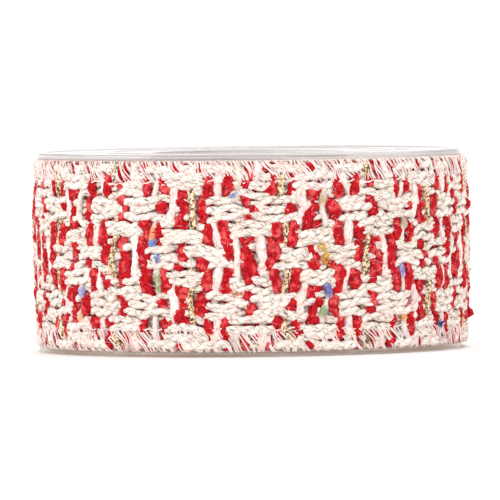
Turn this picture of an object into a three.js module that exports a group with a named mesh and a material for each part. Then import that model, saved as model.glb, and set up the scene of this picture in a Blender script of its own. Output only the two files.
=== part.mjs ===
// A roll of boucle tweed ribbon, wound on a clear two-part reel that lies on its lower flange.
// Millimetres, +Z up along the reel's axis, origin at the bottom centre of the reel.
import * as THREE from "three";

// Ribbon and its wound roll
const RIBBON_WIDTH = 40;
const TURN_THICKNESS = 1.7;
const ROLL_EDGE_RADIUS = 47.0; // over the overlocked edges of the outer turn
const CROWN = 0.45; // the soft middle of the ribbon stands this much prouder than its edges
const EDGE_ROUND = 0.9;
const OVERLOCK_BAND = 4.3; // width of the overlock stitches along each edge
const GROOVE_DEPTH = 0.2; // dip between each band and the open weave
const GROOVE_WIDTH = 0.4;

// Long swells of the soft roll: waves round it, their shift over the ribbon's width, phase and height
const SWELLS = [
  { waves: 3, twist: 4, phase: 0, height: 0.13 },
  { waves: 7, twist: -6, phase: 1, height: 0.09 },
];

// Cut end of the outer turn, at the back, and the stretch over which the turn below rises to full radius
const TAIL_ANGLE = 128;
const TAIL_SLOPE = 1.3;
const RISE_ANGLE = 85;

// Reel
const FLANGE_RADIUS = 46.1;
const FLANGE_THICKNESS = 1.4; // at the rim and at the stacking ring
const WEB_RECESS = 0.4; // the web between them is thinner by this, on its outer face
const RIM_WIDTH = 1.6;
const RIM_ROUND = 0.3;
const RING_RADIUS = 31;
const RING_WIDTH = 1.6;
const RING_DRAFT = 0.15;
const HUB_RADIUS = 23;
const HUB_WALL = 1.8;
const SPIGOT_LENGTH = 8;

// Clearance between pieces that touch
const GAP = 0.3;

// Facets
const REEL_FACETS = 72;
const ROLL_FACETS = 90;
const WEAVE_STEPS = 8;

// Sizes that follow from the ones above
const REEL_HEIGHT = RIBBON_WIDTH + 2 * GAP + 2 * FLANGE_THICKNESS;
const REEL_MIDDLE = REEL_HEIGHT / 2;
const BORE_RADIUS = HUB_RADIUS - HUB_WALL;
const SKIN_WALL = (HUB_WALL - GAP) / 2; // wall of the socket, and of the spigot inside it
const SOCKET_FLOOR = REEL_MIDDLE - SPIGOT_LENGTH;
const RIBBON_BOTTOM = FLANGE_THICKNESS + GAP;
const RIBBON_TOP = RIBBON_BOTTOM + RIBBON_WIDTH;
const WEAVE_WIDTH = RIBBON_WIDTH - 2 * OVERLOCK_BAND; // open weave between the bands

const clearPlastic = new THREE.MeshStandardMaterial({
  color: 0xe9edef,
  roughness: 0.08,
  metalness: 0,
  transparent: true,
  opacity: 0.35,
});
const tweed = new THREE.MeshStandardMaterial({
  color: 0xe6aaa3,
  roughness: 0.95,
  metalness: 0,
});

// A flange from the bore along its outer side to the rim, and back to the hub, as radius and height
function flangeOutline() {
  const ringIn = RING_RADIUS - RING_WIDTH / 2;
  const ringOut = RING_RADIUS + RING_WIDTH / 2;
  const rimIn = FLANGE_RADIUS - RIM_WIDTH;
  return [
    [BORE_RADIUS, WEB_RECESS + RIM_ROUND],
    [BORE_RADIUS + RIM_ROUND, WEB_RECESS],
    [ringIn, WEB_RECESS],
    [ringIn + RING_DRAFT, 0],
    [ringOut - RING_DRAFT, 0],
    [ringOut, WEB_RECESS],
    [rimIn, WEB_RECESS],
    [rimIn + RING_DRAFT, 0],
    [FLANGE_RADIUS - RIM_ROUND, 0],
    [FLANGE_RADIUS, RIM_ROUND],
    [FLANGE_RADIUS, FLANGE_THICKNESS - RIM_ROUND],
    [FLANGE_RADIUS - RIM_ROUND, FLANGE_THICKNESS],
    [HUB_RADIUS, FLANGE_THICKNESS],
  ];
}

// Half hub of the lower reel half: its upper part is thinned from inside into a socket
function socketOutline() {
  const top = REEL_MIDDLE - GAP / 2;
  return [
    [HUB_RADIUS, top],
    [HUB_RADIUS - SKIN_WALL, top],
    [HUB_RADIUS - SKIN_WALL, SOCKET_FLOOR],
    [BORE_RADIUS, SOCKET_FLOOR],
  ];
}

// Half hub of the upper reel half, measured from its own flange: its end is thinned into a spigot
function spigotOutline() {
  const shoulder = REEL_MIDDLE - GAP / 2;
  const tip = REEL_HEIGHT - (SOCKET_FLOOR + GAP);
  return [
    [HUB_RADIUS, shoulder],
    [BORE_RADIUS + SKIN_WALL, shoulder],
    [BORE_RADIUS + SKIN_WALL, tip],
    [BORE_RADIUS, tip],
  ];
}

// A closed outline turned once round +Z
function turned(outline) {
  const points = [...outline, outline[0]].map(
    ([radius, height]) => new THREE.Vector2(radius, height),
  );
  return new THREE.LatheGeometry(points, REEL_FACETS).rotateX(Math.PI / 2);
}

// How far the soft roll stands out or sinks at one place of its outside
function swell(angle, height) {
  const turn = THREE.MathUtils.degToRad(angle);
  const across = height / RIBBON_WIDTH;
  return SWELLS.reduce(
    (sum, wave) =>
      sum + wave.height * Math.sin(wave.waves * turn + wave.twist * across + wave.phase),
    0,
  );
}

// Outline of the wound ribbon in one radial plane; drop lowers its outside by part of a turn
function rollOutline(angle, drop) {
  const bore = HUB_RADIUS + GAP;
  const outside = (proud, height) => [
    ROLL_EDGE_RADIUS + proud + swell(angle, height) - drop,
    RIBBON_BOTTOM + height,
  ];
  const lowerBand = [
    outside(-EDGE_ROUND, 0),
    outside(0, EDGE_ROUND),
    outside(0, OVERLOCK_BAND - GROOVE_WIDTH),
    outside(-GROOVE_DEPTH, OVERLOCK_BAND),
  ];
  const openWeave = [];
  for (let i = 1; i < WEAVE_STEPS; i++) {
    const across = i / WEAVE_STEPS;
    const height = OVERLOCK_BAND + WEAVE_WIDTH * across;
    openWeave.push(outside(CROWN * Math.sin(Math.PI * across), height));
  }
  const upperBand = [
    outside(-GROOVE_DEPTH, RIBBON_WIDTH - OVERLOCK_BAND),
    outside(0, RIBBON_WIDTH - OVERLOCK_BAND + GROOVE_WIDTH),
    outside(0, RIBBON_WIDTH - EDGE_ROUND),
    outside(-EDGE_ROUND, RIBBON_WIDTH),
  ];
  return [
    [bore, RIBBON_BOTTOM],
    ...lowerBand,
    ...openWeave,
    ...upperBand,
    [bore, RIBBON_TOP],
  ];
}

// Wound ribbon: one solid swept once round, from the foot of its cut end to the top of it
function woundRibbon() {
  const positions = [];
  const index = [];
  const planes = ROLL_FACETS + 1;
  const swept = 360 - TAIL_SLOPE;
  for (let i = 0; i < planes; i++) {
    const passed = (swept * i) / ROLL_FACETS;
    const angle = TAIL_ANGLE + TAIL_SLOPE + passed;
    const risen = THREE.MathUtils.smoothstep(passed, 0, RISE_ANGLE);
    const outline = rollOutline(angle, TURN_THICKNESS * (1 - risen));
    const turn = THREE.MathUtils.degToRad(angle);
    for (const [radius, height] of outline) {
      positions.push(radius * Math.cos(turn), radius * Math.sin(turn), height);
    }
    const corners = outline.length;
    const here = i * corners;
    const next = ((i + 1) % planes) * corners;
    for (let k = 0; k < corners; k++) {
      const after = (k + 1) % corners;
      index.push(here + k, next + k, next + after);
      index.push(here + k, next + after, here + after);
    }
  }
  const geometry = new THREE.BufferGeometry();
  geometry.setAttribute("position", new THREE.Float32BufferAttribute(positions, 3));
  geometry.setIndex(index);
  geometry.computeVertexNormals();
  return geometry;
}

function named(name, geometry, material) {
  const mesh = new THREE.Mesh(geometry, material);
  mesh.name = name;
  return mesh;
}

// Lower reel half: flange, rim, stacking ring and socket half of the hub
function lowerReelHalf() {
  const outline = [...flangeOutline(), ...socketOutline()];
  return named("reel_lower", turned(outline), clearPlastic);
}

// Upper reel half: the same flange turned over, with the spigot half of the hub
function upperReelHalf() {
  const outline = [...flangeOutline(), ...spigotOutline()];
  const half = named("reel_upper", turned(outline), clearPlastic);
  half.rotation.x = Math.PI;
  half.position.z = REEL_HEIGHT;
  return half;
}

const roll = new THREE.Group();
roll.name = "ribbon_roll_on_reel";
roll.add(lowerReelHalf());
roll.add(upperReelHalf());
roll.add(named("ribbon_roll", woundRibbon(), tweed));

export default roll;
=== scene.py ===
import math

import bpy
import numpy as np
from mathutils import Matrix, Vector


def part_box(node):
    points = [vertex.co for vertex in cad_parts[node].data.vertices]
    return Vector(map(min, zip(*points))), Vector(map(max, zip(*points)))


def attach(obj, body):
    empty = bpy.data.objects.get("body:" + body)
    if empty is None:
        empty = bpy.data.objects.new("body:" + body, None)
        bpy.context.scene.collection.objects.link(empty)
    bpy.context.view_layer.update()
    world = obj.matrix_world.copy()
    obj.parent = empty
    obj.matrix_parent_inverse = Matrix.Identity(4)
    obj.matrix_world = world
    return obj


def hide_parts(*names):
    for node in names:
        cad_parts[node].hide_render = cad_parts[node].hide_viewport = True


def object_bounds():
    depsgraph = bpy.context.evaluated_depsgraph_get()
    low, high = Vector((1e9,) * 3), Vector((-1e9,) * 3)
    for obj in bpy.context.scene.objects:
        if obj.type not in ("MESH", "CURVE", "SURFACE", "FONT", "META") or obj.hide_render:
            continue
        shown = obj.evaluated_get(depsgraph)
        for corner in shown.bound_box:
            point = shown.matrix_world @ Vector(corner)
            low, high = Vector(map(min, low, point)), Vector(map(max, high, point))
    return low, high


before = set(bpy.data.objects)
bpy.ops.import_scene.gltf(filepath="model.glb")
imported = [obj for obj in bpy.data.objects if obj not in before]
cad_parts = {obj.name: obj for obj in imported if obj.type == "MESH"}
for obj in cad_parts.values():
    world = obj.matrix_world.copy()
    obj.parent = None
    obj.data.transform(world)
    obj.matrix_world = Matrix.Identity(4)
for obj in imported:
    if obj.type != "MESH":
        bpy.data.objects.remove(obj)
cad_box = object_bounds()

# Viewpoint
# The roll lies on its flange and is seen from the side, far away through a long lens, from a
# little above its middle. Everything below is worked out in millimetres and turned to metres.

MM = 0.001
PHOTO_PIXELS = 500
VIEW_DISTANCE = 2000
VIEW_RISE = 1.72
VIEW_ROLL = 0.64
PIXELS_PER_MM = 4.58
LENS_SENSOR = 36
AIM_BELOW_MIDDLE = 0.2  # the picture's centre lies this far below the roll's middle

reel_height = cad_box[1].z / MM
middle = Vector((0, 0, reel_height / 2 * MM))
rise = math.radians(VIEW_RISE)
camera_data = bpy.data.cameras.new("camera")
camera_data.sensor_width = LENS_SENSOR
camera_data.lens = VIEW_DISTANCE * PIXELS_PER_MM / PHOTO_PIXELS * LENS_SENSOR
camera_data.clip_end = 200
camera = bpy.data.objects.new("camera", camera_data)
bpy.context.scene.collection.objects.link(camera)
back = Vector((0, -math.cos(rise), math.sin(rise)))
aim = middle - Vector((0, 0, AIM_BELOW_MIDDLE * MM))
camera.location = aim + back * VIEW_DISTANCE * MM
camera.rotation_euler = back.to_track_quat("Z", "Y").to_euler()
camera.rotation_euler.rotate_axis("Z", math.radians(-VIEW_ROLL))
bpy.context.scene.camera = camera

# Long yarns of the outer turn
# Ivory yarns of two twisted plies that run the whole length of the ribbon, 23 side by side.
# They float over the cross yarns in blocks of three, which makes the tweed's broken checks.

ribbon_low, ribbon_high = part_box("ribbon_roll")
RIBBON_BOTTOM = ribbon_low.z / MM
RIBBON_WIDTH = (ribbon_high.z - ribbon_low.z) / MM
TURN_THICKNESS = 1.7
ROLL_EDGE_RADIUS = 47.0
CROWN = 0.45
OVERLOCK_BAND = 4.3
SWELLS = [
    {"waves": 3, "twist": 4, "phase": 0, "height": 0.13},
    {"waves": 7, "twist": -6, "phase": 1, "height": 0.09},
]
TAIL_ANGLE = 128
TAIL_SLOPE = 1.3
RISE_ANGLE = 85
TUCKED = 7.0  # degrees of the outer turn's start that lie under its own cut end
TURN_END = 360 - TAIL_SLOPE
FRONT = 270 - TAIL_ANGLE - TAIL_SLOPE  # degrees from the cut end round to the middle of the front
MID_DEPTH = 0.7  # from the roll's outside down to the middle of the cloth

ROW_PITCH = 1.71
TOP_ROW = 38.53  # height of the uppermost long yarn above the ribbon's lower edge
ROWS = 23
PLY_WIDTH = 0.54
PLY_HEIGHT = 0.42
PLY_OFFSET = 0.45
PLY_SPREAD = 0.35  # how much wider a ply lies where it crosses its partner
PLY_PITCH = 4.9
LONG_OVER = 0.56
LONG_UNDER = -0.42
FRAY = 2.6  # longest yarn tip past the cut end, in mm
LONG_STEPS = 460
LONG_SIDES = 5

# One group of cross yarns in each line: a red, a light and a red. X is where it lies on top,
# a dot where a long yarn does, for the twelve long yarns of one repeat, going down.
WEAVE = [
    ("...XXX.X.XXX", "...XXX...XXX", "...XXX...XXX"),
    (".X..........", "XXX........X", "X.XX..X.X..X"),
    (".X.X...X...X", "XXXX.......X", "XXX.....X..."),
    ("...XXX...XXX", "...XXX...XXX", "...XXX...XXX"),
    ("......XX....", ".....XXXXX..", "X.X..XX.XXX."),
    (".X...X.XXX..", ".....XXXXX..", ".....XXXX..."),
]
GROUP_SHIFTS = (0.1, -0.9, -0.9, 0.0, -0.6, -0.3)  # how far each group is beaten aside, in mm
WEAVE_ROWS = 12
FIRST_WEAVE_ROW = 8  # the uppermost long yarn's place in the repeat
LIGHT_YARNS = ("gold", "white", "fleck", "white")
GROUP_PITCH = 5.775  # degrees from one light yarn to the next
FRONT_GROUP = 9.0  # degrees from the middle of the front to the gold yarn of group 0
STRAND_OFFSET = 1.86  # degrees from a light yarn to the red ones beside it


def rng(seed):
    return np.random.default_rng(seed)


def ease(x):
    x = np.clip(x, 0, 1)
    return x * x * (3 - 2 * x)


def drift(random, yarns, steps, every):
    """Smooth random numbers from -1 to 1 along each yarn, with a new one every few steps."""
    knots = random.uniform(-1, 1, (yarns, int(steps / every) + 3))
    at = np.arange(steps) / every
    low = at.astype(int)
    part = ease(at - low)
    return knots[:, low] * (1 - part) + knots[:, low + 1] * part


def roll_radius(passed, height):
    """Outside radius of the roll; passed is in degrees from the foot of its cut end."""
    open_width = RIBBON_WIDTH - 2 * OVERLOCK_BAND
    across = np.clip((height - OVERLOCK_BAND) / open_width, 0, 1)
    turn = np.radians(passed + TAIL_ANGLE + TAIL_SLOPE)
    swell = sum(
        w["height"] * np.sin(w["waves"] * turn + w["twist"] * height / RIBBON_WIDTH + w["phase"])
        for w in SWELLS
    )
    drop = TURN_THICKNESS * (1 - ease(passed / RISE_ANGLE))
    return ROLL_EDGE_RADIUS + CROWN * np.sin(math.pi * across) + swell - drop


def outward(passed):
    turn = np.radians(passed + TAIL_ANGLE + TAIL_SLOPE)
    return np.stack([np.cos(turn), np.sin(turn), np.zeros_like(turn)], -1)


def mm_to_degrees(length):
    return np.degrees(length / ROLL_EDGE_RADIUS)


# Slow waves that pull the whole weave a little out of true: their lengths along and across
# the ribbon, phases, and the most that they move a yarn sideways and up, all in mm.
PULLS = [
    {"along": 17, "across": 23, "phase": 0.4, "side": 0.32, "up": 0.26},
    {"along": 9.5, "across": -13, "phase": 2.1, "side": 0.30, "up": 0.26},
    {"along": -6.3, "across": 7.9, "phase": 4.4, "side": 0.28, "up": 0.22},
]


def clear_of_bands(height):
    """0 at the outer half of the two overlock bands, 1 where the weave is open."""
    return ease(np.minimum(height, RIBBON_WIDTH - height) / OVERLOCK_BAND - 0.5)


def in_cloth(passed, height, lift):
    """Points at a height on the ribbon and a lift off the middle of the outer turn, in mm."""
    along = np.radians(passed) * ROLL_EDGE_RADIUS
    calm = clear_of_bands(height)
    side, up = 0, 0
    for pull in PULLS:
        wave = 2 * math.pi * (along / pull["along"] + height / pull["across"]) + pull["phase"]
        side = side + pull["side"] * np.sin(wave)
        up = up + pull["up"] * np.cos(wave * 1.13) * calm
    radius = roll_radius(passed, height) - MID_DEPTH + lift
    points = outward(passed + mm_to_degrees(side)) * radius[..., None]
    points[..., 2] = RIBBON_BOTTOM + height + up
    return points


def strand_letters(group, place):
    """The chart's letters for one cross yarn, from the top edge down, as 1 on top and -1 under."""
    letters = WEAVE[group % len(WEAVE)][place]
    return np.array(
        [
            1.0 if letters[(row + FIRST_WEAVE_ROW) % WEAVE_ROWS] == "X" else -1.0
            for row in range(ROWS)
        ]
    )


def cross_yarn_places():
    """Group, place in the group and degrees from the cut end of every cross yarn."""
    places = []
    first = math.ceil((-TUCKED - FRONT - FRONT_GROUP) / GROUP_PITCH)
    last = math.floor((TURN_END - FRONT - FRONT_GROUP) / GROUP_PITCH) + 1
    for group in range(first, last + 1):
        for place in range(3):
            at = FRONT + FRONT_GROUP + group * GROUP_PITCH + (place - 1) * STRAND_OFFSET
            at += mm_to_degrees(GROUP_SHIFTS[group % len(WEAVE)])
            if -TUCKED < at < TURN_END - 0.2:
                places.append((group, place, at))
    return places


CROSS_YARNS = cross_yarn_places()
ON_TOP = np.array([strand_letters(group, place) for group, place, _ in CROSS_YARNS])
CROSS_AT = np.array([at for _, _, at in CROSS_YARNS])


def sweep(name, centres, out, widths, heights, sides, lumps=None, colours=None):
    """One mesh of closed tubes. Arrays are yarns by steps; widths and heights are half sizes."""
    yarns, steps = centres.shape[:2]
    tangent = np.gradient(centres, axis=1)
    tangent /= np.linalg.norm(tangent, axis=-1, keepdims=True)
    side = np.cross(tangent, out)
    side /= np.linalg.norm(side, axis=-1, keepdims=True)
    up = np.cross(side, tangent)
    around = np.linspace(0, 2 * math.pi, sides, endpoint=False)
    ring = (
        side[:, :, None] * (widths[..., None] * np.cos(around))[..., None]
        + up[:, :, None] * (heights[..., None] * np.sin(around))[..., None]
    )
    if lumps is not None:
        ring = ring * (1 + lumps)[..., None]
    points = (centres[:, :, None] + ring).reshape(-1, 3) * MM

    first = (np.arange(yarns)[:, None] * steps + np.arange(steps - 1)) * sides
    here = first[..., None] + np.arange(sides)
    beside = first[..., None] + (np.arange(sides) + 1) % sides
    quads = np.stack([here, here + sides, beside + sides, beside], -1).reshape(-1, 4)
    ends = np.arange(yarns)[:, None] * steps * sides + np.arange(sides)
    caps = [list(e) for e in ends] + [list(e[::-1]) for e in ends + (steps - 1) * sides]
    mesh = bpy.data.meshes.new(name)
    mesh.from_pydata(points.tolist(), [], quads.tolist() + caps)

    length = np.concatenate(
        [
            np.zeros((yarns, 1)),
            np.cumsum(np.linalg.norm(np.diff(centres, axis=1), axis=-1), axis=1),
        ],
        axis=1,
    )
    length += np.arange(yarns)[:, None] * 7.3
    low = np.repeat(length[:, :-1, None], sides, 2)
    high = np.repeat(length[:, 1:, None], sides, 2)
    left = np.broadcast_to(np.arange(sides) / sides, low.shape)
    corners = np.stack(
        [
            np.stack([low, left], -1),
            np.stack([high, left], -1),
            np.stack([high, left + 1 / sides], -1),
            np.stack([low, left + 1 / sides], -1),
        ],
        -2,
    ).reshape(-1, 2)
    uv = np.zeros((len(mesh.loops), 2))
    uv[: len(corners)] = corners
    mesh.uv_layers.new(name="yarn").data.foreach_set("uv", uv.ravel())
    shade = np.repeat(rng(len(points)).uniform(0, 1, yarns), steps * sides)
    mesh.attributes.new("strand", "FLOAT", "POINT").data.foreach_set("value", shade)
    if colours is not None:
        tint = np.repeat(colours.reshape(-1, 4), sides, axis=0)
        mesh.attributes.new("tint", "FLOAT_COLOR", "POINT").data.foreach_set("color", tint.ravel())
    mesh.shade_smooth()
    piece = bpy.data.objects.new(name, mesh)
    bpy.context.scene.collection.objects.link(piece)
    return piece


class Value:
    """A socket in a material's nodes that Python's arithmetic works on."""

    def __init__(self, finish, socket):
        self.finish, self.socket = finish, socket

    def __add__(self, other):
        return self.finish.math("ADD", self, other)

    def __radd__(self, other):
        return self.finish.math("ADD", other, self)

    def __sub__(self, other):
        return self.finish.math("SUBTRACT", self, other)

    def __rsub__(self, other):
        return self.finish.math("SUBTRACT", other, self)

    def __mul__(self, other):
        return self.finish.math("MULTIPLY", self, other)

    def __rmul__(self, other):
        return self.finish.math("MULTIPLY", other, self)

    def __pow__(self, other):
        return self.finish.math("POWER", self, other)


class Finish:
    """One material. node() makes any node, mix() mixes colours and steps() makes a soft edge."""

    def __init__(self, name, **surface):
        self.material = bpy.data.materials.new(name)
        self.material.use_nodes = True
        self.tree = self.material.node_tree
        self.tree.nodes.clear()
        self.output = self.tree.nodes.new("ShaderNodeOutputMaterial")
        self.shader = self.tree.nodes.new("ShaderNodeBsdfPrincipled")
        self.tree.links.new(self.shader.outputs[0], self.output.inputs[0])
        self.put(**surface)

    def set(self, node, socket, value):
        target = node.inputs[socket]
        if isinstance(value, Value):
            self.tree.links.new(value.socket, target)
        elif hasattr(target.default_value, "__len__") and len(value) == 3 < len(target.default_value):
            target.default_value = (*value, 1)
        else:
            target.default_value = value

    def node(self, kind, settings=None, inputs=None, out=0):
        made = self.tree.nodes.new("ShaderNode" + kind)
        for key, value in (settings or {}).items():
            if key == "stops":
                ramp = made.color_ramp
                while len(ramp.elements) < len(value):
                    ramp.elements.new(0.5)
                for stop, (place, colour) in zip(ramp.elements, value):
                    stop.position, stop.color = place, (*colour, 1)
            else:
                setattr(made, key, value)
        for socket, value in (inputs or {}).items():
            self.set(made, socket, value)
        return Value(self, made.outputs[out])

    def math(self, operation, a, b):
        return self.node("Math", {"operation": operation}, {0: a, 1: b})

    def mix(self, a, b, mask, blend="MIX"):
        settings = {"data_type": "RGBA", "blend_type": blend}
        return self.node("Mix", settings, {0: mask, 6: a, 7: b}, out=2)

    def steps(self, value, low, high):
        """0 where value is under low, 1 where it is over high."""
        return self.node(
            "MapRange", {"interpolation_type": "SMOOTHSTEP"}, {0: value, 1: low, 2: high}
        )

    def put(self, **surface):
        for socket, value in surface.items():
            self.set(self.shader, socket.replace("_", " "), value)


def part_of(finish, vector, axis):
    return finish.node("SeparateXYZ", inputs={0: vector}, out=axis)


def spots(finish, scale):
    """Soft random spots, fixed in the object's own space; scale is in spots a metre."""
    place = finish.node("TexCoord", out=3)
    return finish.node("TexNoise", inputs={"Vector": place, "Scale": scale, "Detail": 2.0})


def yarn_map(finish):
    """Millimetres along a yarn, and turns round it from its side: a quarter turn is its top."""
    uv = finish.node("UVMap", {"uv_map": "yarn"})
    return part_of(finish, uv, 0), part_of(finish, uv, 1)


def fibre_pattern(finish, twist, stretch=9.0, scale=2.2):
    """Fine fibres that wind round a yarn, from its own UV map: about 0.5, darker between fibres."""
    along, round_it = yarn_map(finish)
    strand = finish.node("Attribute", {"attribute_name": "strand"}, out=2)
    wound = finish.node(
        "CombineXYZ",
        inputs={0: along * 0.45, 1: round_it * stretch + along * twist, 2: strand * 40},
    )
    return finish.node("TexNoise", inputs={"Vector": wound, "Scale": scale, "Detail": 3.0})


def rest_on_reel(piece, finish):
    piece.data.materials.append(finish.material)
    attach(piece, "root")


def long_yarns(name, rows, seed):
    """Some of the long yarns, two plies each, from the tucked start to the frayed cut end."""
    random = rng(seed)
    count, steps = len(rows), LONG_STEPS
    ends = TURN_END + mm_to_degrees(random.uniform(0.2, FRAY, count))
    passed = np.linspace(-TUCKED, ends, steps, axis=1)
    past_end = np.radians(np.maximum(passed - TURN_END, 0)) * ROLL_EDGE_RADIUS
    over = -np.stack([np.interp(passed[i], CROSS_AT, ON_TOP[:, row]) for i, row in enumerate(rows)])
    top = ease(over * 0.5 + 0.5)
    lift = LONG_UNDER + (LONG_OVER - LONG_UNDER) * top
    lift += 0.10 * drift(random, count, steps, 7) - 0.12 * past_end**2
    height = (TOP_ROW - ROW_PITCH * rows)[:, None] + 0.40 * drift(random, count, steps, 8)
    height += 0.25 * past_end * random.uniform(-1, 1, (count, 1))
    sewn = 1 - clear_of_bands(height)
    lift += (0.16 - 0.14 * top) * sewn
    arc = np.radians(passed) * ROLL_EDGE_RADIUS
    slack = 1.8 * drift(random, count, steps, 16) + random.uniform(0, 6, (count, 1))
    opened = 1 + 0.3 * past_end
    plies, spread = [], []
    for half_turn in (0, math.pi):
        turn = slack - 2 * math.pi * arc / PLY_PITCH + half_turn
        beside = height + PLY_OFFSET * opened * np.cos(turn)
        plies.append(in_cloth(passed, beside, lift + 0.7 * PLY_OFFSET * np.sin(turn)))
        spread.append(1 + PLY_SPREAD * np.sin(turn) ** 2)
    centres = np.concatenate(plies)
    fat = 0.84 + 0.22 * top + 0.14 * sewn
    fat = np.concatenate([fat, fat]) * (1 + 0.18 * drift(random, 2 * count, steps, 6))
    out = outward(np.concatenate([passed, passed]))
    widths = PLY_WIDTH * fat * np.concatenate(spread)
    return sweep(name, centres, out, widths, PLY_HEIGHT * fat, LONG_SIDES)


PINK_TINT = (0.94, 0.66, 0.63)
CREAM_TINT = (0.88, 0.80, 0.60)
DARK_FILAMENT = (0.13, 0.11, 0.06)
# Colour of the painted shade in the gaps between fibres.
PAINTED_FIBRE_GAP_SHADE = (0.60, 0.33, 0.25)
PAINTED_SIDE_SHADE = (0.93, 0.64, 0.56)  # painted shade, pink as if lit by the red yarns, on the yarns' sides


def ivory_finish(
    name,
    colour,
    twist,
    fibre_gap_shading=0.5,
    filaments=0.0,
    side_shade=0.6,
    relief=0.45,
    pink=0.7,
    between=PAINTED_FIBRE_GAP_SHADE,
):
    """Soft undyed yarn with pink and cream tints, painted shade on its sides and between its fibres;
    relief is the depth of its fibres in mm.
    """
    finish = Finish(name, Roughness=0.85, Sheen_Weight=0.15, Sheen_Roughness=0.5)
    fibres = fibre_pattern(finish, twist)
    bundles = fibre_pattern(finish, twist, stretch=3.2, scale=1.7)
    strand = finish.node("Attribute", {"attribute_name": "strand"}, out=2)
    pinker = finish.steps(spots(finish, 420.0) + strand * 0.1, 0.52, 0.68) * pink
    creamier = finish.steps(spots(finish, 330.0) - strand * 0.1, 0.50, 0.64) * 0.45
    tone = finish.mix(finish.mix(colour, PINK_TINT, pinker), CREAM_TINT, creamier)
    up = finish.math("SINE", yarn_map(finish)[1] * 2 * math.pi, 0)
    # Painted shade: the yarn's sides, away from its top, are tinted darker and pinker, as if shaded and
    # lit by the red yarns.
    tone = finish.mix(tone, PAINTED_SIDE_SHADE, finish.steps(up, 0.85, 0.1) * side_shade)
    if filaments:
        streaks = fibre_pattern(finish, 1.4, stretch=5.0, scale=1.7)
        tone = finish.mix(tone, DARK_FILAMENT, finish.steps(streaks, 0.595, 0.65) * filaments)
    # Painted shade: darker where the fibre noise dips, where the bump also makes the hollows between
    # fibres.
    tone = finish.mix(tone, between, finish.steps(bundles, 0.46, 0.28) * fibre_gap_shading)
    tone = finish.mix(tone, between, finish.steps(fibres, 0.44, 0.36) * fibre_gap_shading)
    depth = bundles * 0.6 + fibres * 0.4
    bump = finish.node("Bump", inputs={"Strength": 1.0, "Distance": relief * MM, "Height": depth})
    finish.put(Base_Color=tone, Normal=bump)
    return finish


ivory = ivory_finish(
    "ivory ply yarn",
    (0.97, 0.905, 0.83),
    0.9,
    fibre_gap_shading=0.85,
    filaments=0.9,
    pink=0.4,
    # colour of its painted shade between fibres
    between=(0.54, 0.38, 0.29),
)
rest_on_reel(long_yarns("long_yarns_upper", np.arange(0, 12), 11), ivory)
rest_on_reel(long_yarns("long_yarns_lower", np.arange(12, ROWS), 12), ivory)

# Cross yarns
# Short yarns that cross the ribbon from edge to edge, in groups of three: a light yarn between
# two strands of fat red boucle. The light one is gold thread, white roving or flecked cream.

CROSS_STEPS = 100
CROSS_OVER = 0.40
CROSS_UNDER = -0.40
CROSS_TOP_END = 0.35  # the yarns stop this far short of the ribbon's upper edge
CROSS_LOW_END = -0.1


def on_top(yarns, height):
    """Whether each cross yarn lies over the long ones at some heights: 0 under, 1 over."""
    row = (TOP_ROW - height) / ROW_PITCH
    over = np.stack([np.interp(row[i], np.arange(ROWS), ON_TOP[y]) for i, y in enumerate(yarns)])
    return ease(over * 0.5 + 0.5)


def cross_paths(chosen, random, sway):
    """Degrees, heights, lifts and shares on top of some cross yarns, yarns by steps."""
    heights = np.linspace(RIBBON_WIDTH - CROSS_TOP_END, CROSS_LOW_END, CROSS_STEPS)
    height = np.broadcast_to(heights, (len(chosen), CROSS_STEPS))
    top = on_top(chosen, height)
    edge = ease(np.minimum(height, RIBBON_WIDTH - height) / 1.5)
    lift = CROSS_UNDER + (CROSS_OVER - CROSS_UNDER) * top
    lift = lift * edge + 0.10 * drift(random, len(chosen), CROSS_STEPS, 7)
    side = sway * drift(random, len(chosen), CROSS_STEPS, 9)
    passed = CROSS_AT[chosen][:, None] + mm_to_degrees(side)
    return passed, height, lift, top


def of_kind(kind, place=1):
    return [
        i
        for i, (group, at_place, _) in enumerate(CROSS_YARNS)
        if at_place == place and (place != 1 or LIGHT_YARNS[group % 4] == kind)
    ]


RED_WIDTH = 1.14
RED_HEIGHT = 0.74
RED_SIDES = 8
# A red yarn's size as a share of its full one: under a long yarn, what it gains on top, and
# what it gains where its light neighbour leaves it room.
RED_UNDER = 0.50
RED_ON_TOP = 0.42
RED_WITH_ROOM = 0.26
UPPER_PRESS = 0.26  # how flat the overlock presses it in each band
LOWER_PRESS = 0.16
# Loops that have pulled out of the cloth: degrees from the front, height, and how far out.
PULLED_LOOPS = [
    {"at": 84, "height": 5.4, "out": 1.5},
    {"at": 80, "height": 30.5, "out": 0.8},
    {"at": -61, "height": 1.0, "out": 0.5},
    {"at": 150, "height": 24.0, "out": 1.1},
    {"at": 245, "height": 12.5, "out": 0.9},
]


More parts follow.
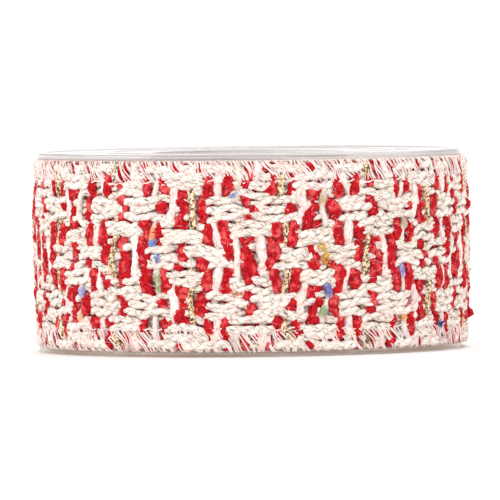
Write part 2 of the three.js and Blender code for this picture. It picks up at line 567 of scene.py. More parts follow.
def red_yarns(name, place, seed):
    """The red yarns on one side of the light ones. Where one lies on top, it spreads that way."""
    random = rng(seed)
    chosen = of_kind("red", place)
    passed, height, lift, top = cross_paths(chosen, random, 0.52)
    way = place - 1
    neighbours = np.clip(np.array(chosen) + way, 0, len(CROSS_YARNS) - 1)
    free = top * (1 - on_top(neighbours, height))
    passed = passed + mm_to_degrees(way * (0.15 + 0.4 * free))
    squeeze = RED_UNDER + RED_ON_TOP * top + RED_WITH_ROOM * free
    below = 1 - LOWER_PRESS + LOWER_PRESS * ease(height / OVERLOCK_BAND - 0.5)
    above = 1 - UPPER_PRESS + UPPER_PRESS * ease((RIBBON_WIDTH - height) / OVERLOCK_BAND - 0.5)
    fat = squeeze * below * above * (1 + 0.32 * drift(random, len(chosen), CROSS_STEPS, 4))
    lumps = 0.18 * random.uniform(-1, 1, (len(chosen), CROSS_STEPS, RED_SIDES))
    for loop in PULLED_LOOPS:
        nearest = np.argmin(np.abs(CROSS_AT[chosen] - (FRONT + loop["at"]) % 360))
        near = np.exp(-(((height[nearest] - loop["height"]) / 1.0) ** 2))
        lift[nearest] += loop["out"] * near
        fat[nearest] *= 1 + 0.3 * near
    return sweep(
        name,
        in_cloth(passed, height, lift),
        outward(passed),
        RED_WIDTH * fat,
        RED_HEIGHT * fat,
        RED_SIDES,
        lumps=lumps,
    )


RED = (0.60, 0.008, 0.016)
RED_PAINTED_SHADE = (0.20, 0.002, 0.006)
RED_PAINTED_HIGHLIGHT = (0.90, 0.13, 0.13)


def red_finish():
    """Matt red wool in small tufts, with painted shade between them and painted highlights in paler
    patches.
    """
    finish = Finish("red boucle yarn", Roughness=0.95, Specular_IOR_Level=0.2)
    tufts = spots(finish, 1900.0)
    # Painted shade: darker where the tuft noise dips, where the bump also sinks the surface.
    tone = finish.mix(RED, RED_PAINTED_SHADE, finish.steps(tufts, 0.52, 0.36) * 0.9)
    # Painted highlight: paler red in larger patches.
    tone = finish.mix(tone, RED_PAINTED_HIGHLIGHT, finish.steps(spots(finish, 600.0), 0.50, 0.66) * 0.7)
    bump = finish.node("Bump", inputs={"Strength": 1.0, "Distance": 0.0006, "Height": tufts})
    finish.put(Base_Color=tone, Normal=bump)
    return finish


red = red_finish()
rest_on_reel(red_yarns("red_yarns_left", 0, 21), red)
rest_on_reel(red_yarns("red_yarns_right", 2, 22), red)


LIGHT_SIDES = 8


def light_yarns(name, kind, seed, width, thickness, sway, colours=None):
    """The light yarns of one kind; width and thickness are half sizes on top of the cloth."""
    random = rng(seed)
    chosen = of_kind(kind)
    passed, height, lift, top = cross_paths(chosen, random, sway)
    squeeze = 0.68 + 0.32 * top
    fat = squeeze * (1 + 0.15 * drift(random, len(chosen), CROSS_STEPS, 6))
    tint = None
    if colours:
        tint, nubs = colours(chosen, height, random)
        fat, lift = fat * (1 + NUB * nubs), lift + NUB_LIFT * nubs
    lumps = 0.10 * random.uniform(-1, 1, (len(chosen), CROSS_STEPS, LIGHT_SIDES))
    return sweep(
        name,
        in_cloth(passed, height, lift),
        outward(passed),
        width * fat,
        thickness * fat,
        LIGHT_SIDES,
        lumps=lumps,
        colours=tint,
    )


roving = ivory_finish("white roving", (0.90, 0.81, 0.78), 0.25, fibre_gap_shading=0.7)
rest_on_reel(light_yarns("white_yarns", "white", 31, 1.10, 0.66, 0.50), roving)

# Flecks that the front shows: group, height, length and colour. Other flecked yarns get random ones.
FLECKS = [
    {"group": -6, "height": 25.4, "length": 2.6, "colour": (0.80, 0.26, 0.09)},
    {"group": -6, "height": 22.9, "length": 1.4, "colour": (0.14, 0.24, 0.66)},
    {"group": -6, "height": 14.2, "length": 3.2, "colour": (0.27, 0.29, 0.12)},
    {"group": 2, "height": 32.0, "length": 2.0, "colour": (0.50, 0.36, 0.20)},
    {"group": 2, "height": 12.9, "length": 4.0, "colour": (0.06, 0.06, 0.36)},
    {"group": 2, "height": 7.9, "length": 2.0, "colour": (0.26, 0.32, 0.16)},
    {"group": 6, "height": 26.6, "length": 2.0, "colour": (0.45, 0.36, 0.24)},
    {"group": 6, "height": 16.4, "length": 3.6, "colour": (0.20, 0.16, 0.50)},
    {"group": 6, "height": 7.0, "length": 2.4, "colour": (0.82, 0.32, 0.06)},
    {"group": -10, "height": 12.0, "length": 1.9, "colour": (0.30, 0.32, 0.60)},
    {"group": -10, "height": 7.2, "length": 1.6, "colour": (0.88, 0.45, 0.20)},
    {"group": 10, "height": 4.8, "length": 1.6, "colour": (0.06, 0.16, 0.42)},
    {"group": -14, "height": 31.0, "length": 2.2, "colour": (0.16, 0.28, 0.66)},
    {"group": 14, "height": 20.0, "length": 1.5, "colour": (0.60, 0.42, 0.20)},
]
FLECK_COLOURS = [
    (0.82, 0.30, 0.10),
    (0.14, 0.24, 0.66),
    (0.28, 0.32, 0.14),
    (0.86, 0.54, 0.12),
    (0.32, 0.26, 0.62),
]
RANDOM_FLECKS = 4  # on each yarn that the front doesn't show
FLECK_FADE = 1.1
CREAM = (0.85, 0.79, 0.70)
NUB = 0.08  # how much a fleck fattens its yarn, as a share
NUB_LIFT = 0.55


def flecked(chosen, height, random):
    """Colours along some flecked yarns, and how far into a fleck each step lies, from 0 to 1."""
    tint = np.ones((*height.shape, 4))
    tint[..., :3] = CREAM
    nubs = np.zeros(height.shape)
    for i, c in enumerate(chosen):
        group = CROSS_YARNS[c][0]
        flecks = [f for f in FLECKS if f["group"] == group]
        if not flecks:
            flecks = [
                {
                    "height": random.uniform(4, RIBBON_WIDTH - 4),
                    "length": random.uniform(1.4, 3),
                    "colour": FLECK_COLOURS[random.integers(len(FLECK_COLOURS))],
                }
                for _ in range(RANDOM_FLECKS)
            ]
        for f in flecks:
            past_edge = np.abs(height[i] - f["height"]) - f["length"] / 2
            inside = 1 - ease(past_edge / FLECK_FADE + 0.5)
            tint[i, :, :3] += (np.array(f["colour"]) - tint[i, :, :3]) * inside[:, None]
            nubs[i] = np.maximum(nubs[i], inside)
    return tint, nubs


def fleck_finish():
    """Cream yarn that takes its flecks' colours from the mesh, streaked with cream again, with painted
    shade between its fibres.
    """
    finish = Finish("flecked cream yarn", Roughness=0.85, Sheen_Weight=0.15)
    fibres = fibre_pattern(finish, 0.6)
    tint = finish.node("Attribute", {"attribute_name": "tint"}, out=0)
    streaks = fibre_pattern(finish, 0.6, stretch=5.0, scale=1.6)
    broken = spots(finish, 1400.0) * 0.5 + streaks * 0.5
    tone = finish.mix(tint, CREAM, finish.steps(broken, 0.53, 0.60) * 0.5)
    # Painted shade: darker where the fibre noise dips, as the bump does.
    tone = finish.mix(tone, (0.45, 0.36, 0.32), finish.steps(fibres, 0.55, 0.35) * 0.4)
    bump = finish.node("Bump", inputs={"Strength": 0.6, "Distance": 0.00025, "Height": fibres})
    finish.put(Base_Color=tone, Normal=bump)
    return finish


rest_on_reel(
    light_yarns("fleck_yarns", "fleck", 32, 0.78, 0.58, 0.4, colours=flecked), fleck_finish()
)

GOLD_PLIES = 3
GOLD_PITCH = 2.4
GOLD_PLY_RADIUS = 0.47
GOLD_PLY_OFFSET = 0.40
GOLD_LIFT = 0.2
GOLD_SIDES = 6


def gold_yarns():
    """The gold yarns, each of three flat plies twisted together."""
    random = rng(33)
    chosen = of_kind("gold")
    passed, height, lift, _ = cross_paths(chosen, random, 0.4)
    phase = random.uniform(0, 6, (len(chosen), 1))
    plies = []
    for ply in range(GOLD_PLIES):
        turn = 2 * math.pi * (height / GOLD_PITCH + ply / GOLD_PLIES) + phase
        beside = passed + mm_to_degrees(GOLD_PLY_OFFSET * np.cos(turn))
        plies.append(in_cloth(beside, height, GOLD_LIFT + lift + GOLD_PLY_OFFSET * np.sin(turn)))
    centres = np.concatenate(plies)
    fat = GOLD_PLY_RADIUS * (1 + 0.1 * drift(random, len(centres), CROSS_STEPS, 4))
    around = np.concatenate([passed] * GOLD_PLIES)
    return sweep("gold_yarns", centres, outward(around), fat, 0.8 * fat, GOLD_SIDES)


def gold_finish():
    """Crinkled metallic foil: gold of its own, with small facets painted from dark bronze to pale gold
    as a painted reflection.
    """
    finish = Finish("gold thread", Roughness=0.32)
    along, round_it = yarn_map(finish)
    cell = finish.node("CombineXYZ", inputs={0: along * 3.4, 1: round_it * 5.0 + along * 2.0, 2: 0.0})
    facets = finish.node("TexVoronoi", {"feature": "F1"}, {"Vector": cell, "Scale": 1.0}, out=1)
    shade = part_of(finish, facets, 0)
    # Painted reflection: how dark or pale each facet is follows the same value that tilts its bump, in
    # place of the light it would reflect.
    tone = finish.node(
        "ValToRGB",
        {
            "stops": [
                (0.0, (0.03, 0.015, 0.008)),
                (0.26, (0.18, 0.09, 0.04)),
                (0.42, (0.62, 0.38, 0.16)),
                (0.62, (0.88, 0.67, 0.38)),
                (1.0, (0.96, 0.88, 0.72)),
            ]
        },
        {0: shade},
    )
    bump = finish.node("Bump", inputs={"Strength": 0.8, "Distance": 0.0002, "Height": shade})
    finish.put(Base_Color=tone, Metallic=0.2, Normal=bump)
    return finish


rest_on_reel(gold_yarns(), gold_finish())

# Overlock stitches of the outer turn
# Soft white polyester threads, sewn over both raw edges by an overlock machine: slanting pairs
# of threads wrap the edge, and a line of needle stitches runs along the inner side of each band.

STITCH_PITCH = 2.38
THREAD_RADIUS = 0.145
STITCH_SLANT = 3.0
WRAP = [
    # share of the slant, share of the band from its inner line to the edge, lift off the cloth
    (0.00, 0.00, 0.15),
    (0.06, 0.06, 0.85),
    (0.35, 0.36, 1.02),
    (0.68, 0.70, 1.00),
    (0.92, 0.97, 0.85),
    (1.00, 1.04, 0.35),
    (1.02, 1.04, -0.40),
    (1.04, 0.96, -0.95),
]
# How far each thread of a stitch stands from its first one, and its slant as a share.
STITCH_THREADS = ((0.0, 1.0), (0.36, 1.05), (0.8, 0.9), (1.6, 0.66))
THREAD_SIDES = 4
NEEDLE_STEPS = 760
NEEDLE_RADIUS = 0.17
NEEDLE_SIDES = 6
LOWER_OVERHANG = 0.45  # the lower edge's threads hang this far over the flange's rim
FLANGE_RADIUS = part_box("reel_lower")[1].x / MM


def wrap_paths(start, end, random):
    """Threads that wrap the upper edge, as degrees, heights from the band's inner line, lifts."""
    shares = np.array(WRAP)
    span = np.arange(start, end, mm_to_degrees(STITCH_PITCH))
    strands = []
    for offset, lean in STITCH_THREADS:
        at = span + mm_to_degrees(offset) + mm_to_degrees(random.uniform(-0.16, 0.16, len(span)))
        slant = STITCH_SLANT * lean * random.uniform(0.8, 1.2, len(span))
        strands.append(at[:, None] - mm_to_degrees(slant)[:, None] * shares[:, 0])
    passed = np.concatenate(strands)
    reach = OVERLOCK_BAND * random.uniform(0.93, 1.0, (len(passed), 1))
    up = shares[:, 1] * reach + (OVERLOCK_BAND - reach)
    lift = shares[:, 2] + 0.06 * drift(random, len(passed), len(WRAP), 2)
    return passed, up, lift


def finer(values, times=2):
    """Extra steps between the ones of each path, on smooth curves."""
    steps = values.shape[1]
    at = np.linspace(0, steps - 1, (steps - 1) * times + 1)
    low = np.clip(at.astype(int), 0, steps - 2)
    part = at - low
    before = values[:, np.clip(low - 1, 0, steps - 1)]
    here, there = values[:, low], values[:, low + 1]
    after = values[:, np.clip(low + 2, 0, steps - 1)]
    return 0.5 * (
        2 * here
        + (there - before) * part
        + (2 * before - 5 * here + 4 * there - after) * part**2
        + (3 * here - before - 3 * there + after) * part**3
    )


def overlock(name, upper, seed):
    """The threads that wrap one edge of the outer turn."""
    random = rng(seed)
    passed, up, lift = (finer(v) for v in wrap_paths(0.6, TURN_END - 0.4, random))
    inner = RIBBON_WIDTH - OVERLOCK_BAND
    # On the lower edge the same stitch is turned half round, so its slant stays the same.
    if upper:
        height = inner + up
    else:
        clear_of_reel = ease(roll_radius(passed, 0) - FLANGE_RADIUS - 0.1)
        hanging = LOWER_OVERHANG * ease(up / OVERLOCK_BAND * 3 - 2) * ease(lift * 2)
        hanging = hanging * clear_of_reel
        height, passed = OVERLOCK_BAND - up - hanging, 2 * passed[:, :1] - passed
    fat = THREAD_RADIUS * (1 + 0.15 * drift(random, *passed.shape, 4))
    centres = in_cloth(passed, height, lift)
    return sweep(name, centres, outward(passed), 1.15 * fat, 0.8 * fat, THREAD_SIDES)


def needle_line(name, upper, seed):
    """The needle thread of one edge, which dips into the cloth once in each stitch."""
    random = rng(seed)
    passed = np.linspace(0.5, TURN_END - 0.3, NEEDLE_STEPS)[None]
    stitch = np.radians(passed) * ROLL_EDGE_RADIUS / STITCH_PITCH * 2 * math.pi
    line = RIBBON_WIDTH - OVERLOCK_BAND if upper else OVERLOCK_BAND
    height = line + 0.2 * np.sin(stitch) + 0.2 * drift(random, 1, NEEDLE_STEPS, 14)
    lift = 0.88 + 0.16 * np.cos(stitch)
    fat = np.full_like(passed, NEEDLE_RADIUS)
    centres = in_cloth(passed, height, lift)
    return sweep(name, centres, outward(passed), fat, 0.8 * fat, NEEDLE_SIDES)


thread = ivory_finish(
    "overlock thread", (0.91, 0.82, 0.79), 1.5, fibre_gap_shading=0.3, side_shade=0.5, relief=0.05
)
for upper, edge, seed in ((True, "upper", 41), (False, "lower", 42)):
    rest_on_reel(overlock("overlock_" + edge, upper, seed), thread)
    rest_on_reel(needle_line("needle_line_" + edge, upper, seed + 10), thread)

# Inner turns
# The rest of the ribbon, wound under the outer turn. Its two overlocked edges lie under the
# clear flanges as a tight spiral, and its face closes the gaps between the outer turn's yarns.

INNER_TURNS = 13
INNER_HALF = 0.74
INNER_START = 95  # degrees past the cut end where the innermost turn begins, on the hub
SPIRAL_STEP = 3.0
EDGE_INSET = 0.25
EDGE_CORNER = 0.5
HUGGING = 0.3  # the last inner turn presses this far out against the outer one
INNER_STITCH = 2.2
STITCH_RADIUS = 0.26
STITCH_SIDES = 3


def spiral(step):
    """Degrees from the cut end and the turn's number, from the hub out to the outer turn."""
    total = np.arange(INNER_START, INNER_TURNS * 360 + TURN_END - 360, step)
    turn = INNER_TURNS - (total // 360)
    return total % 360, turn


def on_spiral(passed, turn, lift, height):
    """Points at a height on an inner turn and a lift off its middle, in mm."""
    drop = TURN_THICKNESS * (1 - ease(passed / RISE_ANGLE))
    crown = CROWN * np.sin(math.pi * np.clip(height / RIBBON_WIDTH, 0, 1))
    radius = ROLL_EDGE_RADIUS - TURN_THICKNESS / 2 - drop - TURN_THICKNESS * turn + lift + crown
    points = outward(passed) * radius[..., None]
    points[..., 2] = RIBBON_BOTTOM + height
    return points


def turn_radius(turn):
    return ROLL_EDGE_RADIUS - TURN_THICKNESS * (turn + 0.5)


def inner_turns():
    """One long strip with soft corners, swept along the spiral."""
    passed, turn = spiral(SPIRAL_STEP)
    random = rng(51)
    outline = [
        (-INNER_HALF, EDGE_INSET + EDGE_CORNER),
        (-INNER_HALF * 0.5, EDGE_INSET),
        (INNER_HALF * 0.5, EDGE_INSET),
        (INNER_HALF, EDGE_INSET + EDGE_CORNER),
        (INNER_HALF, RIBBON_WIDTH * 0.25),
        (INNER_HALF, RIBBON_WIDTH * 0.5),
        (INNER_HALF, RIBBON_WIDTH * 0.75),
        (INNER_HALF, RIBBON_WIDTH - EDGE_INSET - EDGE_CORNER),
        (INNER_HALF * 0.5, RIBBON_WIDTH - EDGE_INSET),
        (-INNER_HALF * 0.5, RIBBON_WIDTH - EDGE_INSET),
        (-INNER_HALF, RIBBON_WIDTH - EDGE_INSET - EDGE_CORNER),
        (-INNER_HALF, RIBBON_WIDTH * 0.5),
    ]
    sides = len(outline)
    wander = 0.12 * drift(random, 1, len(passed), 6)[0] + HUGGING * (turn == 1)
    rings = np.stack(
        [on_spiral(passed, turn, lift + wander, np.full_like(passed, z)) for lift, z in outline], 1
    )
    steps = len(passed)
    first = np.arange(steps - 1)[:, None] * sides
    here = first + np.arange(sides)
    beside = first + (np.arange(sides) + 1) % sides
    quads = np.stack([here, beside, beside + sides, here + sides], -1).reshape(-1, 4)
    caps = [list(range(sides))[::-1], list(range((steps - 1) * sides, steps * sides))]
    mesh = bpy.data.meshes.new("inner_turns")
    mesh.from_pydata((rings.reshape(-1, 3) * MM).tolist(), [], quads.tolist() + caps)
    mesh.shade_smooth()
    along = np.repeat(np.cumsum(np.radians(SPIRAL_STEP) * turn_radius(turn)), sides)
    mesh.attributes.new("along", "FLOAT", "POINT").data.foreach_set("value", along)
    piece = bpy.data.objects.new("inner_turns", mesh)
    bpy.context.scene.collection.objects.link(piece)
    return piece


def inner_finish():
    """The same weave as a pattern of colour and bump: blocks of long yarns and red groups, with painted
    shade between the rows and in small hollows.
    """
    finish = Finish("tweed of the inner turns", Roughness=0.9, Sheen_Weight=0.15)
    blobs = spots(finish, 500.0) - 0.5
    fine = spots(finish, 1500.0)
    along = finish.node("Attribute", {"attribute_name": "along"}, out=2)
    height = part_of(finish, finish.node("TexCoord", out=3), 2)
    group = along * (1 / 4.77) + blobs * 0.35
    row = height * (1000 / ROW_PITCH) + blobs * 1.2
    block = finish.math("FLOOR", row * (1 / 3), 0) + finish.math("FLOOR", group, 0)
    long_on_top = finish.math("PINGPONG", block, 1)
    in_group = finish.math("PINGPONG", group, 0.5)
    red_part = finish.steps(in_group, 0.40, 0.30)
    in_row = finish.math("PINGPONG", row, 0.5)
    # Painted shade in the gaps between rows of long yarns.
    row_gap_shade = finish.steps(in_row, 0.12, 0.04)
    cross = finish.mix((0.82, 0.77, 0.72), (0.46, 0.008, 0.015), red_part)
    long = finish.mix((0.80, 0.74, 0.68), (0.30, 0.06, 0.05), row_gap_shade * 0.8)
    tone = finish.mix(cross, long, long_on_top)
    # Painted shade where the fine noise dips, which the bump also sinks.
    tone = finish.mix(tone, (0.30, 0.08, 0.07), finish.steps(fine, 0.50, 0.36) * 0.5)
    depth = fine * 0.5 + in_row * long_on_top + in_group * (1 - long_on_top)
    bump = finish.node("Bump", inputs={"Strength": 0.8, "Distance": 0.0005, "Height": depth})
    finish.put(Base_Color=tone, Normal=bump)
    return finish


rest_on_reel(inner_turns(), inner_finish())


# A stitch over an inner edge: shares of half the cloth's thickness, and depths below the edge.
STITCH_ARC = [(-1.05, 0.9), (-0.95, 0.25), (-0.35, 0.02), (0.35, 0.02), (0.95, 0.25), (1.05, 0.9)]


def inner_stitches():
    """Short threads that cross each inner edge, seen through the flanges."""
    random = rng(52)
    arcs = np.array(STITCH_ARC)
    passed, turn = spiral(1.0)
    length = np.cumsum(np.radians(1.0) * turn_radius(turn))
    at = np.interp(np.arange(0, length[-1], INNER_STITCH), length, np.arange(len(length)))
    at = np.clip(at.round().astype(int), 0, len(passed) - 1)
    passed, turn = passed[at], turn[at]
    lean = np.degrees(random.uniform(0.1, 0.9, len(at)) / turn_radius(turn))
    paths = []
    for upper in (True, False):
        around = passed[:, None] + lean[:, None] * arcs[:, 0] * (1 if upper else -1)
        away = np.broadcast_to(arcs[:, 1], around.shape)
        height = RIBBON_WIDTH - away if upper else away
        lift = INNER_HALF * 1.02 * arcs[:, 0] * np.ones_like(around)
        paths.append(on_spiral(around, np.broadcast_to(turn[:, None], around.shape), lift, height))
    centres = np.concatenate(paths)
    up = np.zeros_like(centres)
    up[: len(at), :, 2] = 1
    up[len(at) :, :, 2] = -1
    fat = STITCH_RADIUS * (1 + 0.2 * drift(random, *centres.shape[:2], 2))
    return sweep("inner_stitches", centres, up, 1.2 * fat, 0.8 * fat, STITCH_SIDES)


rest_on_reel(inner_stitches(), thread)

# Loose fibres
# Fine hairs that stand off the boucle and the soft yarns and blur the weave's outlines, with
# a few thicker tufts that the overlock has caught and pushed out over the lower edge.

RED_HAIRS = 2200
IVORY_HAIRS = 4000
TUFTS = [
    {"at": -34, "height": 0.2, "hairs": 70},
    {"at": 20, "height": 39.6, "hairs": 30},
    {"at": -75, "height": 0.6, "hairs": 40},
    {"at": 62, "height": 0.3, "hairs": 40},
    {"at": 130, "height": 0.4, "hairs": 60},
    {"at": 230, "height": 0.2, "hairs": 50},
]
# Bits of dyed fibre caught on the cloth's face: degrees from the front, height and colour.
SLUBS = [
    {"at": 19.0, "height": 21.5, "colour": (0.92, 0.55, 0.08)},
    {"at": 20.2, "height": 20.1, "colour": (0.94, 0.66, 0.16)},
    {"at": 19.7, "height": 18.9, "colour": (0.90, 0.46, 0.10)},
    {"at": -24.0, "height": 19.8, "colour": (0.12, 0.22, 0.62)},
    {"at": -25.2, "height": 23.0, "colour": (0.26, 0.34, 0.72)},
    {"at": -4.6, "height": 32.7, "colour": (0.42, 0.48, 0.80)},
    {"at": -4.1, "height": 11.7, "colour": (0.75, 0.26, 0.12)},
    {"at": 59.5, "height": 4.2, "colour": (0.04, 0.12, 0.36)},
]
MORE_SLUBS = 12
SLUBS_BETWEEN = (100, 260)  # degrees from the front where the further ones are scattered
SLUB_HAIRS = 24
HAIR_STEPS = 4
HAIR_SIDES = 3


def hairs(name, passed, height, seed, radius, longest, base=0.82, colours=None):
    """Short curved hairs that start at the given places, base mm off the middle of the cloth."""
    random = rng(seed)
    count = len(passed)
    t = np.linspace(0, 1, HAIR_STEPS)
    heading = random.uniform(0, 2 * math.pi, (count, 1))
    way = heading + random.uniform(-2.4, 2.4, (count, 1)) * t
    length = random.uniform(0.4, 1, (count, 1)) * longest
    side = np.cumsum(np.cos(way), 1) / len(t) * length
    climb = np.cumsum(np.sin(way), 1) / len(t) * length
    lift = base + random.uniform(0.12, 0.7, (count, 1)) * np.sin(math.pi * t * 0.75)
    around = passed[:, None] + mm_to_degrees(side)
    tall = np.clip(height[:, None] + climb, -0.4, RIBBON_WIDTH)
    centres = in_cloth(around, tall, lift)
    thin = np.broadcast_to(radius * (1 - 0.5 * t), around.shape)
    tint = None
    if colours is not None:
        tint = np.ones((*around.shape, 4))
        tint[..., :3] = colours[:, None]
    return sweep(name, centres, outward(around), thin, thin, HAIR_SIDES, colours=tint)


def red_hairs():
    """Hairs on the red yarns, only where they lie on top."""
    random = rng(61)
    red_ones = [i for i, (_, place, _) in enumerate(CROSS_YARNS) if place != 1]
    floats = np.argwhere(ON_TOP[red_ones] > 0)
    pick = floats[random.integers(len(floats), size=RED_HAIRS)]
    passed = CROSS_AT[red_ones][pick[:, 0]] + mm_to_degrees(random.uniform(-0.9, 0.9, RED_HAIRS))
    height = TOP_ROW - ROW_PITCH * pick[:, 1] + random.uniform(-0.8, 0.8, RED_HAIRS)
    return hairs("red_hairs", passed, height, 63, 0.06, 1.3)


def ivory_hairs():
    """Hairs all over the outer turn, and the tufts."""
    random = rng(62)
    passed = [random.uniform(1, TURN_END - 1, IVORY_HAIRS)]
    height = [random.uniform(0.6, RIBBON_WIDTH - 0.6, IVORY_HAIRS)]
    for tuft in TUFTS:
        centre = (FRONT + tuft["at"]) % 360
        passed.append(centre + mm_to_degrees(random.normal(0, 0.7, tuft["hairs"])))
        height.append(tuft["height"] + random.normal(0, 0.4, tuft["hairs"]))
    return hairs("ivory_hairs", np.concatenate(passed), np.concatenate(height), 64, 0.05, 1.8)


def slubs():
    """The bits of dyed fibre, each a small tangle of thick hairs."""
    random = rng(65)
    first = [(s["at"], s["height"], *s["colour"]) for s in SLUBS]
    elsewhere = [
        (random.uniform(*SLUBS_BETWEEN), random.uniform(3, 37), *FLECK_COLOURS[i % len(FLECK_COLOURS)])
        for i in range(MORE_SLUBS)
    ]
    table = np.repeat(np.array(first + elsewhere), SLUB_HAIRS, axis=0)
    passed = (FRONT + table[:, 0]) % 360 + mm_to_degrees(random.normal(0, 0.45, len(table)))
    height = table[:, 1] + random.normal(0, 0.3, len(table))
    return hairs("slubs", passed, height, 66, 0.13, 1.1, base=1.05, colours=table[:, 2:])


dyed = Finish("dyed fibre", Roughness=0.9)
dyed.put(Base_Color=dyed.node("Attribute", {"attribute_name": "tint"}))
rest_on_reel(slubs(), dyed)
rest_on_reel(red_hairs(), red)
rest_on_reel(ivory_hairs(), thread)

# Reel
# Two clear polystyrene mouldings that snap together: each is a flange with a raised rim and a
# stacking ring on its outer face, and half of the hub. The upper flange is the lower one turned over.

REEL_STEPS = 192
GAP = 0.3  # clearance between the two halves, and between flange and ribbon
FLANGE_THICKNESS = RIBBON_BOTTOM - GAP
WEB_RECESS = 0.4
RIM_WIDTH = 1.6
RING_RADIUS = 31
RING_WIDTH = 1.6
RING_DRAFT = 0.15
HUB_RADIUS = 23
HUB_WALL = 1.8
SPIGOT_LENGTH = 8
EDGE_BEVEL = 0.16


def reel_half(name, hub_end):
    """Spins one moulding's outline round the axis; hub_end is the outline of its half hub."""
    bore = HUB_RADIUS - HUB_WALL
    ring_in, ring_out = RING_RADIUS - RING_WIDTH / 2, RING_RADIUS + RING_WIDTH / 2
    rim_in = FLANGE_RADIUS - RIM_WIDTH
    outline = [
        (bore, WEB_RECESS),
        (ring_in, WEB_RECESS),
        (ring_in + RING_DRAFT, 0),
        (ring_out - RING_DRAFT, 0),
        (ring_out, WEB_RECESS),
        (rim_in, WEB_RECESS),
        (rim_in + RING_DRAFT, 0),
        (FLANGE_RADIUS, 0),
        (FLANGE_RADIUS, FLANGE_THICKNESS),
        (HUB_RADIUS, FLANGE_THICKNESS),
        *hub_end,
    ]
    bpy.ops.object.select_all(action="DESELECT")
    bpy.ops.mesh.primitive_circle_add(vertices=len(outline), radius=1, location=(0, 0, 0))
    half = bpy.context.object
    half.name = half.data.name = name
    for vertex, (radius, height) in zip(half.data.vertices, outline):
        vertex.co = Vector((radius, 0, height)) * MM
    bpy.ops.object.mode_set(mode="EDIT")
    bpy.ops.mesh.select_all(action="SELECT")
    bpy.ops.mesh.spin(
        steps=REEL_STEPS, angle=2 * math.pi, center=(0, 0, 0), axis=(0, 0, 1), use_auto_merge=False
    )
    bpy.ops.mesh.select_all(action="SELECT")
    bpy.ops.mesh.remove_doubles(threshold=0.01 * MM)
    bpy.ops.mesh.normals_make_consistent(inside=False)
    bpy.ops.object.mode_set(mode="OBJECT")
    bevel = half.modifiers.new("moulded edges", "BEVEL")
    bevel.width = EDGE_BEVEL * MM
    bevel.segments = 2
    bevel.limit_method = "ANGLE"
    bevel.angle_limit = math.radians(30)
    bpy.ops.object.modifier_apply(modifier=bevel.name)
    bpy.ops.object.shade_smooth_by_angle(angle=math.radians(35))
    return half


skin_wall = (HUB_WALL - GAP) / 2
half_height = reel_height / 2
socket_floor = half_height - SPIGOT_LENGTH
lower_hub = [
    (HUB_RADIUS, half_height - GAP / 2),
    (HUB_RADIUS - skin_wall, half_height - GAP / 2),
    (HUB_RADIUS - skin_wall, socket_floor),
    (HUB_RADIUS - HUB_WALL, socket_floor),
]
spigot_tip = reel_height - socket_floor - GAP
upper_hub = [
    (HUB_RADIUS, half_height - GAP / 2),
    (HUB_RADIUS - HUB_WALL + skin_wall, half_height - GAP / 2),
    (HUB_RADIUS - HUB_WALL + skin_wall, spigot_tip),
    (HUB_RADIUS - HUB_WALL, spigot_tip),
]
lower_half = reel_half("reel_lower_half", lower_hub)
upper_half = reel_half("reel_upper_half", upper_hub)
for vertex in upper_half.data.vertices:
    vertex.co = Vector((vertex.co.x, -vertex.co.y, reel_height * MM - vertex.co.z))


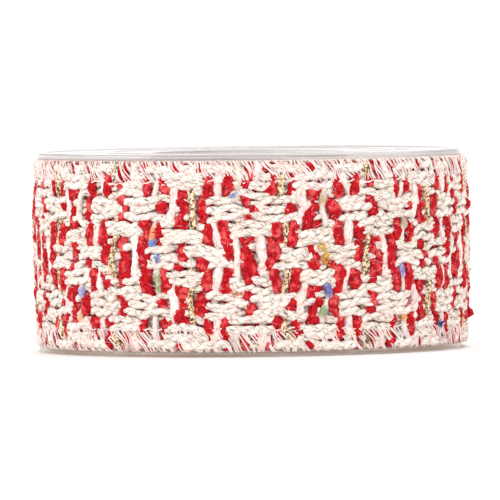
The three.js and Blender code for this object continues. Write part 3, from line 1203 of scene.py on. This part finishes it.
def clear_plastic():
    """Glass-clear face on, shiny at a glancing look; its upright edges are more opaque, painted grey
    with pale streaks, as painted shade and reflection.
    """
    finish = Finish("clear polystyrene", IOR=1.5, Roughness=0.03)
    place = finish.node("TexCoord", out=3)
    x, y, z = (part_of(finish, place, axis) for axis in range(3))
    layer = finish.node("CombineXYZ", inputs={0: x * 26, 1: y * 26, 2: z * 2600})
    streaks = finish.node("TexNoise", inputs={"Vector": layer, "Scale": 1.0, "Detail": 2.0})
    painted_streaks = finish.steps(streaks, 0.42, 0.66)
    upright = part_of(finish, finish.node("NewGeometry", out=1), 2)
    wall = finish.steps(finish.math("ABSOLUTE", upright, 0), 0.7, 0.4)
    half = reel_height * MM / 2
    from_middle = finish.math("ABSOLUTE", z - half, 0)
    wall = wall * finish.steps(from_middle, half - 1.8 * MM, half - 1.5 * MM)
    # Painted shade and reflection: the upright rims are grey, brownish on the lower flange, with paler
    # streaks, standing in for the shaded ribbon seen through the clear plastic.
    lower = finish.steps(z, half * 1.2, half * 0.8)
    tone = finish.mix((0.38, 0.35, 0.335), (0.52, 0.385, 0.29), lower)
    tone = finish.mix(tone, (0.86, 0.83, 0.81), painted_streaks * (0.65 - lower * 0.2))
    tone = finish.mix((0.93, 0.925, 0.92), tone, wall)
    facing = finish.node("LayerWeight", inputs={"Blend": 0.5}, out=1)
    glance = 0.04 + 0.96 * facing**5
    body = 0.05 + wall * 0.62
    clear = finish.node("BsdfTransparent")
    shown = finish.node("MixShader", inputs={0: body + glance * (1 - body), 1: clear})
    finish.tree.links.new(finish.shader.outputs[0], shown.socket.node.inputs[2])
    finish.tree.links.new(shown.socket, finish.output.inputs[0])
    finish.put(Base_Color=tone)
    return finish


plastic = clear_plastic()
for half, node in ((lower_half, "reel_lower"), (upper_half, "reel_upper")):
    rest_on_reel(half, plastic)
    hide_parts(node)
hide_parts("ribbon_roll")

# Studio
# A wide white table under an evenly white surrounding, with soft lamps above and in front.

TABLE_RADIUS = 3.0

bpy.ops.object.select_all(action="DESELECT")
bpy.ops.mesh.primitive_circle_add(vertices=96, radius=TABLE_RADIUS, fill_type="NGON", location=(0, 0, 0))
table = bpy.context.object
table.name = "table"
white = Finish("white table", Base_Color=(0.93, 0.93, 0.93), Roughness=0.6)
table.data.materials.append(white.material)

world = bpy.data.worlds.new("white surrounding")
bpy.context.scene.world = world
world.use_nodes = True
world.node_tree.nodes["Background"].inputs[0].default_value = (1, 1, 1, 1)
world.node_tree.nodes["Background"].inputs[1].default_value = 1.25

LAMPS = [
    {"name": "key", "at": (-0.9, -1.3, 1.1), "size": 0.6, "power": 6},
    {"name": "top", "at": (0.3, 0.6, 1.4), "size": 0.8, "power": 3},
]
for lamp in LAMPS:
    data = bpy.data.lights.new(lamp["name"], "AREA")
    data.shape, data.size, data.energy = "DISK", lamp["size"], lamp["power"]
    light = bpy.data.objects.new(lamp["name"], data)
    light.location = lamp["at"]
    light.rotation_euler = (Vector(lamp["at"]) - middle).to_track_quat("Z", "Y").to_euler()
    bpy.context.scene.collection.objects.link(light)

bpy.context.scene.view_settings.view_transform = "Standard"
